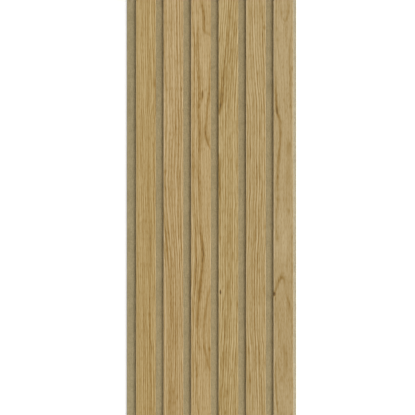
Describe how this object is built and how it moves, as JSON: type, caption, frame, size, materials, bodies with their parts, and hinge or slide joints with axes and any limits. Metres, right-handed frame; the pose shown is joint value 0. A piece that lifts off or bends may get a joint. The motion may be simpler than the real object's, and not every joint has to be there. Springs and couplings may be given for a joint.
{
  "type": "acoustic slat panel",
  "caption": "Long wall or ceiling panel of oak-veneered slats fixed side by side, with open grooves between them, on a felt backing board that absorbs sound.",
  "frame": {"origin": "centre of the felt's back face, halfway along the panel", "axes": "+X across the slats, from the wide bare margin towards the narrow lip; +Y along the slats; +Z from the back to the front of the panel"},
  "size_m": [0.2476, 2.4, 0.021],
  "materials": {
    "oak_veneer": "oak veneer over a fibreboard core, matt lacquer, grain along the slat",
    "felt": "needle-punched and pressed felt board, matt, olive beige"
  },
  "bodies": {
    "root": {"felt_backing": "felt", "slat_1": "oak_veneer", "slat_2": "oak_veneer", "slat_3": "oak_veneer", "slat_4": "oak_veneer", "slat_5": "oak_veneer", "slat_6": "oak_veneer"}
  },
  "joints": []
}
